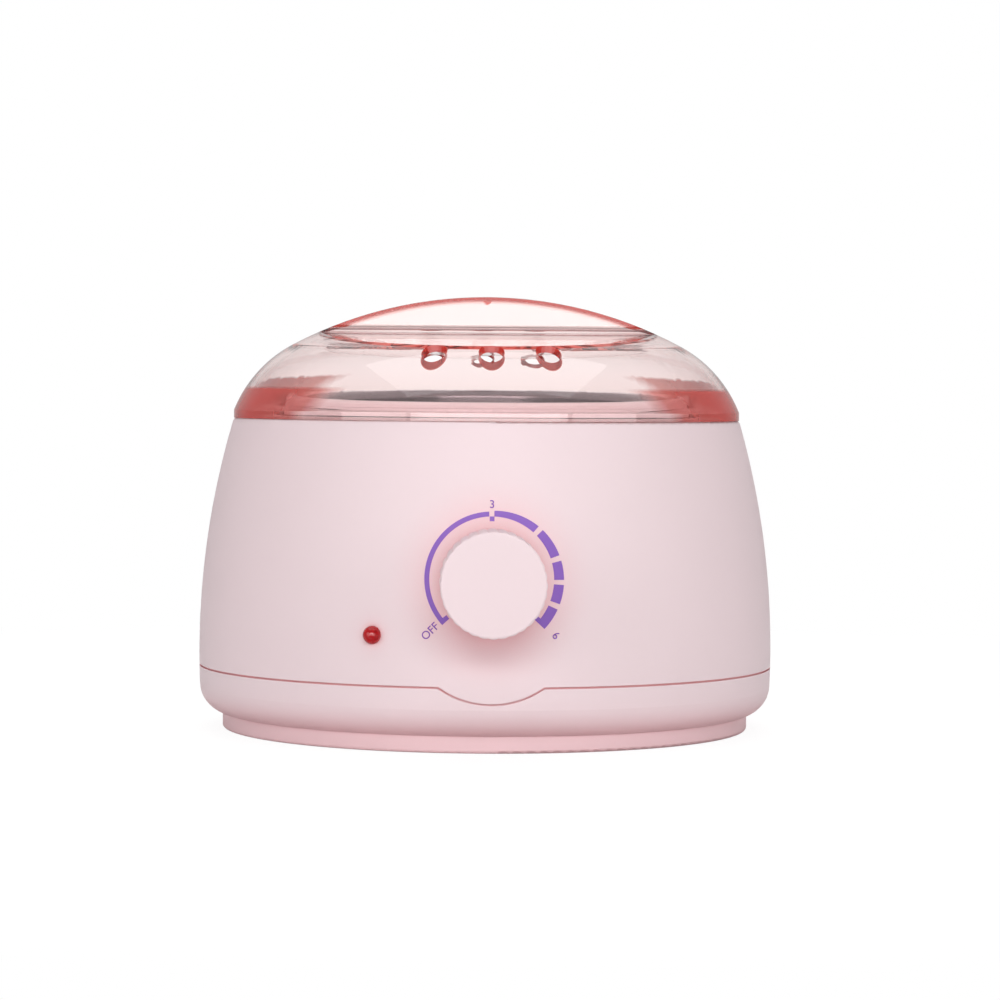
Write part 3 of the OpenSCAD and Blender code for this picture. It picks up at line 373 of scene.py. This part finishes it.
def scale_band(name, outer_r, shift, spans, end):
    """A band round the dial, cut to its spans, with a square tick inwards at the end that it stops at.

    Its outer edge is a circle whose centre is shifted, so that it grows wider; its cuts stay radial."""
    bpy.ops.object.select_all(action="DESELECT")
    bpy.ops.mesh.primitive_circle_add(vertices=720, radius=scale_r, fill_type="NOTHING", location=dial,
                                      rotation=(math.pi / 2, 0.0, 0.0))
    band = bpy.context.object
    band.name = name
    bpy.ops.object.transform_apply(location=True, rotation=True, scale=True)
    bpy.ops.object.mode_set(mode="EDIT")
    bpy.ops.mesh.select_all(action="SELECT")
    bpy.ops.mesh.extrude_edges_move()
    ring = bmesh.from_edit_mesh(band.data)
    for corner in (v for v in ring.verts if v.select):
        outwards = (corner.co - dial).normalized()
        slip = outwards.dot(shift)
        corner.co = dial + outwards * (slip + math.sqrt(outer_r ** 2 - shift.length_squared + slip ** 2))
    bmesh.update_edit_mesh(band.data)
    choose(band, faces=lambda c: not any(low < heading(c) < high for low, high in spans))
    bpy.ops.mesh.delete(type="FACE")
    near_end = math.degrees(tick / scale_r)
    same_r = 0.00002
    choose(band, edges=lambda c: (abs((c - dial).length - scale_r) < same_r
                                  and abs(heading(c) - end) < near_end))
    bpy.ops.mesh.extrude_edges_move()
    shrink = 1.0 - tick / scale_r
    bpy.ops.transform.resize(value=(shrink, 1.0, shrink), center_override=dial)
    bpy.ops.object.mode_set(mode="OBJECT")
    printed(band)


scale_end = 133.0
arc_width = 0.00146
scale_band("dial_arc", scale_r + arc_width, Vector(), [(-scale_end, -2.5)], -scale_end)
scale_band("dial_blocks", 0.02069, Vector((0.00095, 0.0, -0.00033)),
           [(2.0, 41.5), (46.0, 70.5), (75.0, 90.5), (94.5, 110.0), (114.5, scale_end)], scale_end)

bpy.ops.object.select_all(action="DESELECT")
bpy.ops.mesh.primitive_plane_add(size=tick, location=dial + Vector((0.0, 0.0, scale_r - tick / 2)),
                                 rotation=(math.pi / 2, 0.0, 0.0))
middle_mark = bpy.context.object
middle_mark.name = "dial_mark"
bpy.ops.object.transform_apply(location=True, rotation=True, scale=True)
printed(middle_mark)

letter_high = 0.0034
for word, across, up, lean in (
    ("OFF", -0.0183, -0.0157, -45.0),
    ("3", 0.0, 0.0222, 0.0),
    ("6", 0.0192, -0.0168, 45.0),
):
    bpy.ops.object.select_all(action="DESELECT")
    bpy.ops.object.text_add(radius=letter_high, location=dial + Vector((across, 0.0, up)),
                            rotation=(math.pi / 2, math.radians(lean), 0.0))
    label = bpy.context.object
    label.name = "dial_label_" + word.lower()
    label.data.body = word
    label.data.align_x = "CENTER"
    label.data.align_y = "CENTER"
    label.data.offset = 0.00001
    bpy.ops.object.convert(target="MESH")
    bpy.ops.object.transform_apply(location=True, rotation=True, scale=True)
    printed(label)


# Pot: spun from aluminium sheet with a flared rim, and loose in the heating well. The rim's edge and
# the lower walls are bright aluminium; the upper wall and the rim's inner part are painted dark, as
# painted shade for the dim surroundings that they reflect.
def step(value, start, stop):
    """0 up to start, 1 from stop on, or the other way round."""
    return ((value - start) / (stop - start)).top(0.0).least(1.0)


pot = Finish(bpy.data.materials.new("spun_aluminium"))
place = pot.node("ShaderNodeTexCoord", out="Object")
flat_place = pot.node("ShaderNodeVectorMath", {"operation": "MULTIPLY"}, [place, (1000.0, 1000.0, 0.0)])
radius = pot.node("ShaderNodeVectorMath", {"operation": "LENGTH"}, [flat_place], out="Value")
height = 1000.0 * pot.node("ShaderNodeSeparateXYZ", inputs=[place], out=2)
turned = pot.node("ShaderNodeMapping", inputs={"Vector": place, "Scale": (30.0, 30.0, 2600.0)})
rings = pot.node("ShaderNodeTexNoise", inputs={"Vector": turned, "Scale": 1.0, "Detail": 2.0}, out="Fac")
# Painted shade: outside the rim's edge and the lower walls, the pot's base colour is painted dark.
rim = step(radius, 58.0, 58.6)
lower_wall = step(height, 99.0, 90.0)
pot.node("ShaderNodeOutputMaterial", inputs={
    "Surface": pot.node("ShaderNodeBsdfPrincipled", inputs={
        "Base Color": pot.blend(rim.top(0.8 * lower_wall), (0.25, 0.22, 0.235), (0.88, 0.86, 0.88)),
        "Metallic": 1.0, "Roughness": 0.16 + 0.08 * rings,
        "Normal": pot.node("ShaderNodeBump", inputs={
            "Strength": 0.25, "Distance": 0.00002, "Height": rings,
        }),
    }),
})
dress(pot.holder, "inner_pot")

# Ears and pivots: ears pressed from burnished steel and fixed to the pot with aluminium rivets.
# Split steel rivets join the handle to them.
dress(plastic("rivet_aluminium", (0.70, 0.68, 0.69), 0.25, 0.4, 1.0), "ear_rivets")
dress(plastic("burnished_steel", (0.20, 0.19, 0.19), 0.35, 0.4, 1.0),
      "ear_left", "ear_right", "handle_pivots")

# Pot handle: a half-ring bail moulded in pink plastic. It folds down to the front round the pot and
# turns on two split rivets in the ears.
dress(plastic("handle_pink", (0.83, 0.70, 0.72), 0.4), "pot_handle")


# Lid: a dome moulded in clear coral acrylic with a hollow ridge and six vents, polished on both faces.
# It rests loose on the deck. The crest, the bores and the foot's ends are painted deep red, as painted
# glow for light that has come a long way through the acrylic; the foot's red grows as its wall is seen
# more edge-on. The gate marks on top take the same deep red, and the ridge a painted deeper tint, as
# painted shade.
lid = Finish(bpy.data.materials.new("clear_coral"))
place = lid.node("ShaderNodeTexCoord", out="Object")


def along(vector, axis):
    """One axis of a place, in millimetres."""
    return 1000.0 * lid.node("ShaderNodeSeparateXYZ", inputs=[vector], out=axis)


def span(vector, *centre):
    """Distance from a point given in millimetres."""
    centre = tuple(c / 1000.0 for c in centre)
    shift = lid.node("ShaderNodeVectorMath", {"operation": "SUBTRACT"}, [vector, centre])
    return 1000.0 * lid.node("ShaderNodeVectorMath", {"operation": "LENGTH"}, [shift], out="Value")


height = along(place, 2)
out_from_ridge = lid.node("ShaderNodeMath", {"operation": "ABSOLUTE"}, [along(place, 1)])
dome_r, dome_z = 133.5, 5.7
below_dome = dome_r - span(place, 0.0, 0.0, dome_z)
# Masks for the painted glow at the crest, the bores and the foot, and for the gate marks, which take the
# same deep red.
on_ridge = step(out_from_ridge, 6.2, 6.8) * step(out_from_ridge, 7.8, 7.6) * step(height, 127.8, 128.6)
crest = step(below_dome, 1.7, 0.7) * on_ridge

gate_y, gate_z, gate_r = 7.1, 138.1, 1.2
gate_off = span(place, 0.0, -gate_y, gate_z).least(span(place, 0.0, gate_y, gate_z))
gate = step(gate_off, gate_r + 0.3, gate_r)

folded = lid.node("ShaderNodeVectorMath", {"operation": "MULTIPLY"}, [
    lid.node("ShaderNodeVectorMath", {"operation": "ABSOLUTE"}, [place]), (1.0, 1.0, 0.0),
])
vent_r, vent_circle, vent_turn = 3.8, 67.3, math.radians(15.0)
vent_off = span(folded, 0.0, vent_circle, 0.0).least(
    span(folded, vent_circle * math.sin(vent_turn), vent_circle * math.cos(vent_turn), 0.0))
bore = step(vent_off, vent_r + 0.25, vent_r + 0.1)

# The foot's painted glow grows with how edge-on its wall is seen.
aslant = lid.node("ShaderNodeLayerWeight", inputs={"Blend": 0.5}, out="Facing")
foot = step(height, 110.0, 109.0) * step(aslant, 0.31, 0.38)
# Painted shade: the ridge above 127.6 mm gets a deeper tint.
painted_ridge_shade = step(height, 127.6, 129.0)
pale = lid.blend(painted_ridge_shade, (1.0, 0.985, 0.985), (0.90, 0.835, 0.83))
foot_red, deep_red = (0.66, 0.26, 0.23), (0.62, 0.07, 0.04)
haze = lid.node("ShaderNodeTexNoise", inputs={"Vector": place, "Scale": 60.0, "Detail": 2.0}, out="Fac")
clear_path = 0.014
losses = [-math.log(share) / clear_path for share in (0.97, 0.68, 0.65)]
clear = lid.node("ShaderNodeBsdfPrincipled", inputs={
    "Base Color": lid.blend(crest.top(bore).top(gate), lid.blend(foot, pale, foot_red), deep_red),
    "Roughness": 0.012 * haze, "IOR": 1.49, "Transmission Weight": 1.0,
})
# A red surface mixed in at the crest, bores and foot as painted glow; it is no lamp.
painted_glow = lid.node("ShaderNodeBsdfPrincipled", inputs={
    "Base Color": (0.54, 0.055, 0.045, 1.0), "Roughness": 0.1, "Specular IOR Level": 0.2,
})
painted_foot_glow = foot * (0.35 + 0.6 * step(aslant, 0.38, 0.66))
lid.node("ShaderNodeOutputMaterial", inputs={
    "Surface": lid.node("ShaderNodeMixShader", inputs=[
        painted_foot_glow.top(0.5 * crest).top(0.6 * bore), clear, painted_glow,
    ]),
    "Volume": lid.node("ShaderNodeVolumeAbsorption", inputs={
        "Color": (*(1.0 - loss / max(losses) for loss in losses), 1.0), "Density": max(losses),
    }),
})
dress(lid.holder, "lid")
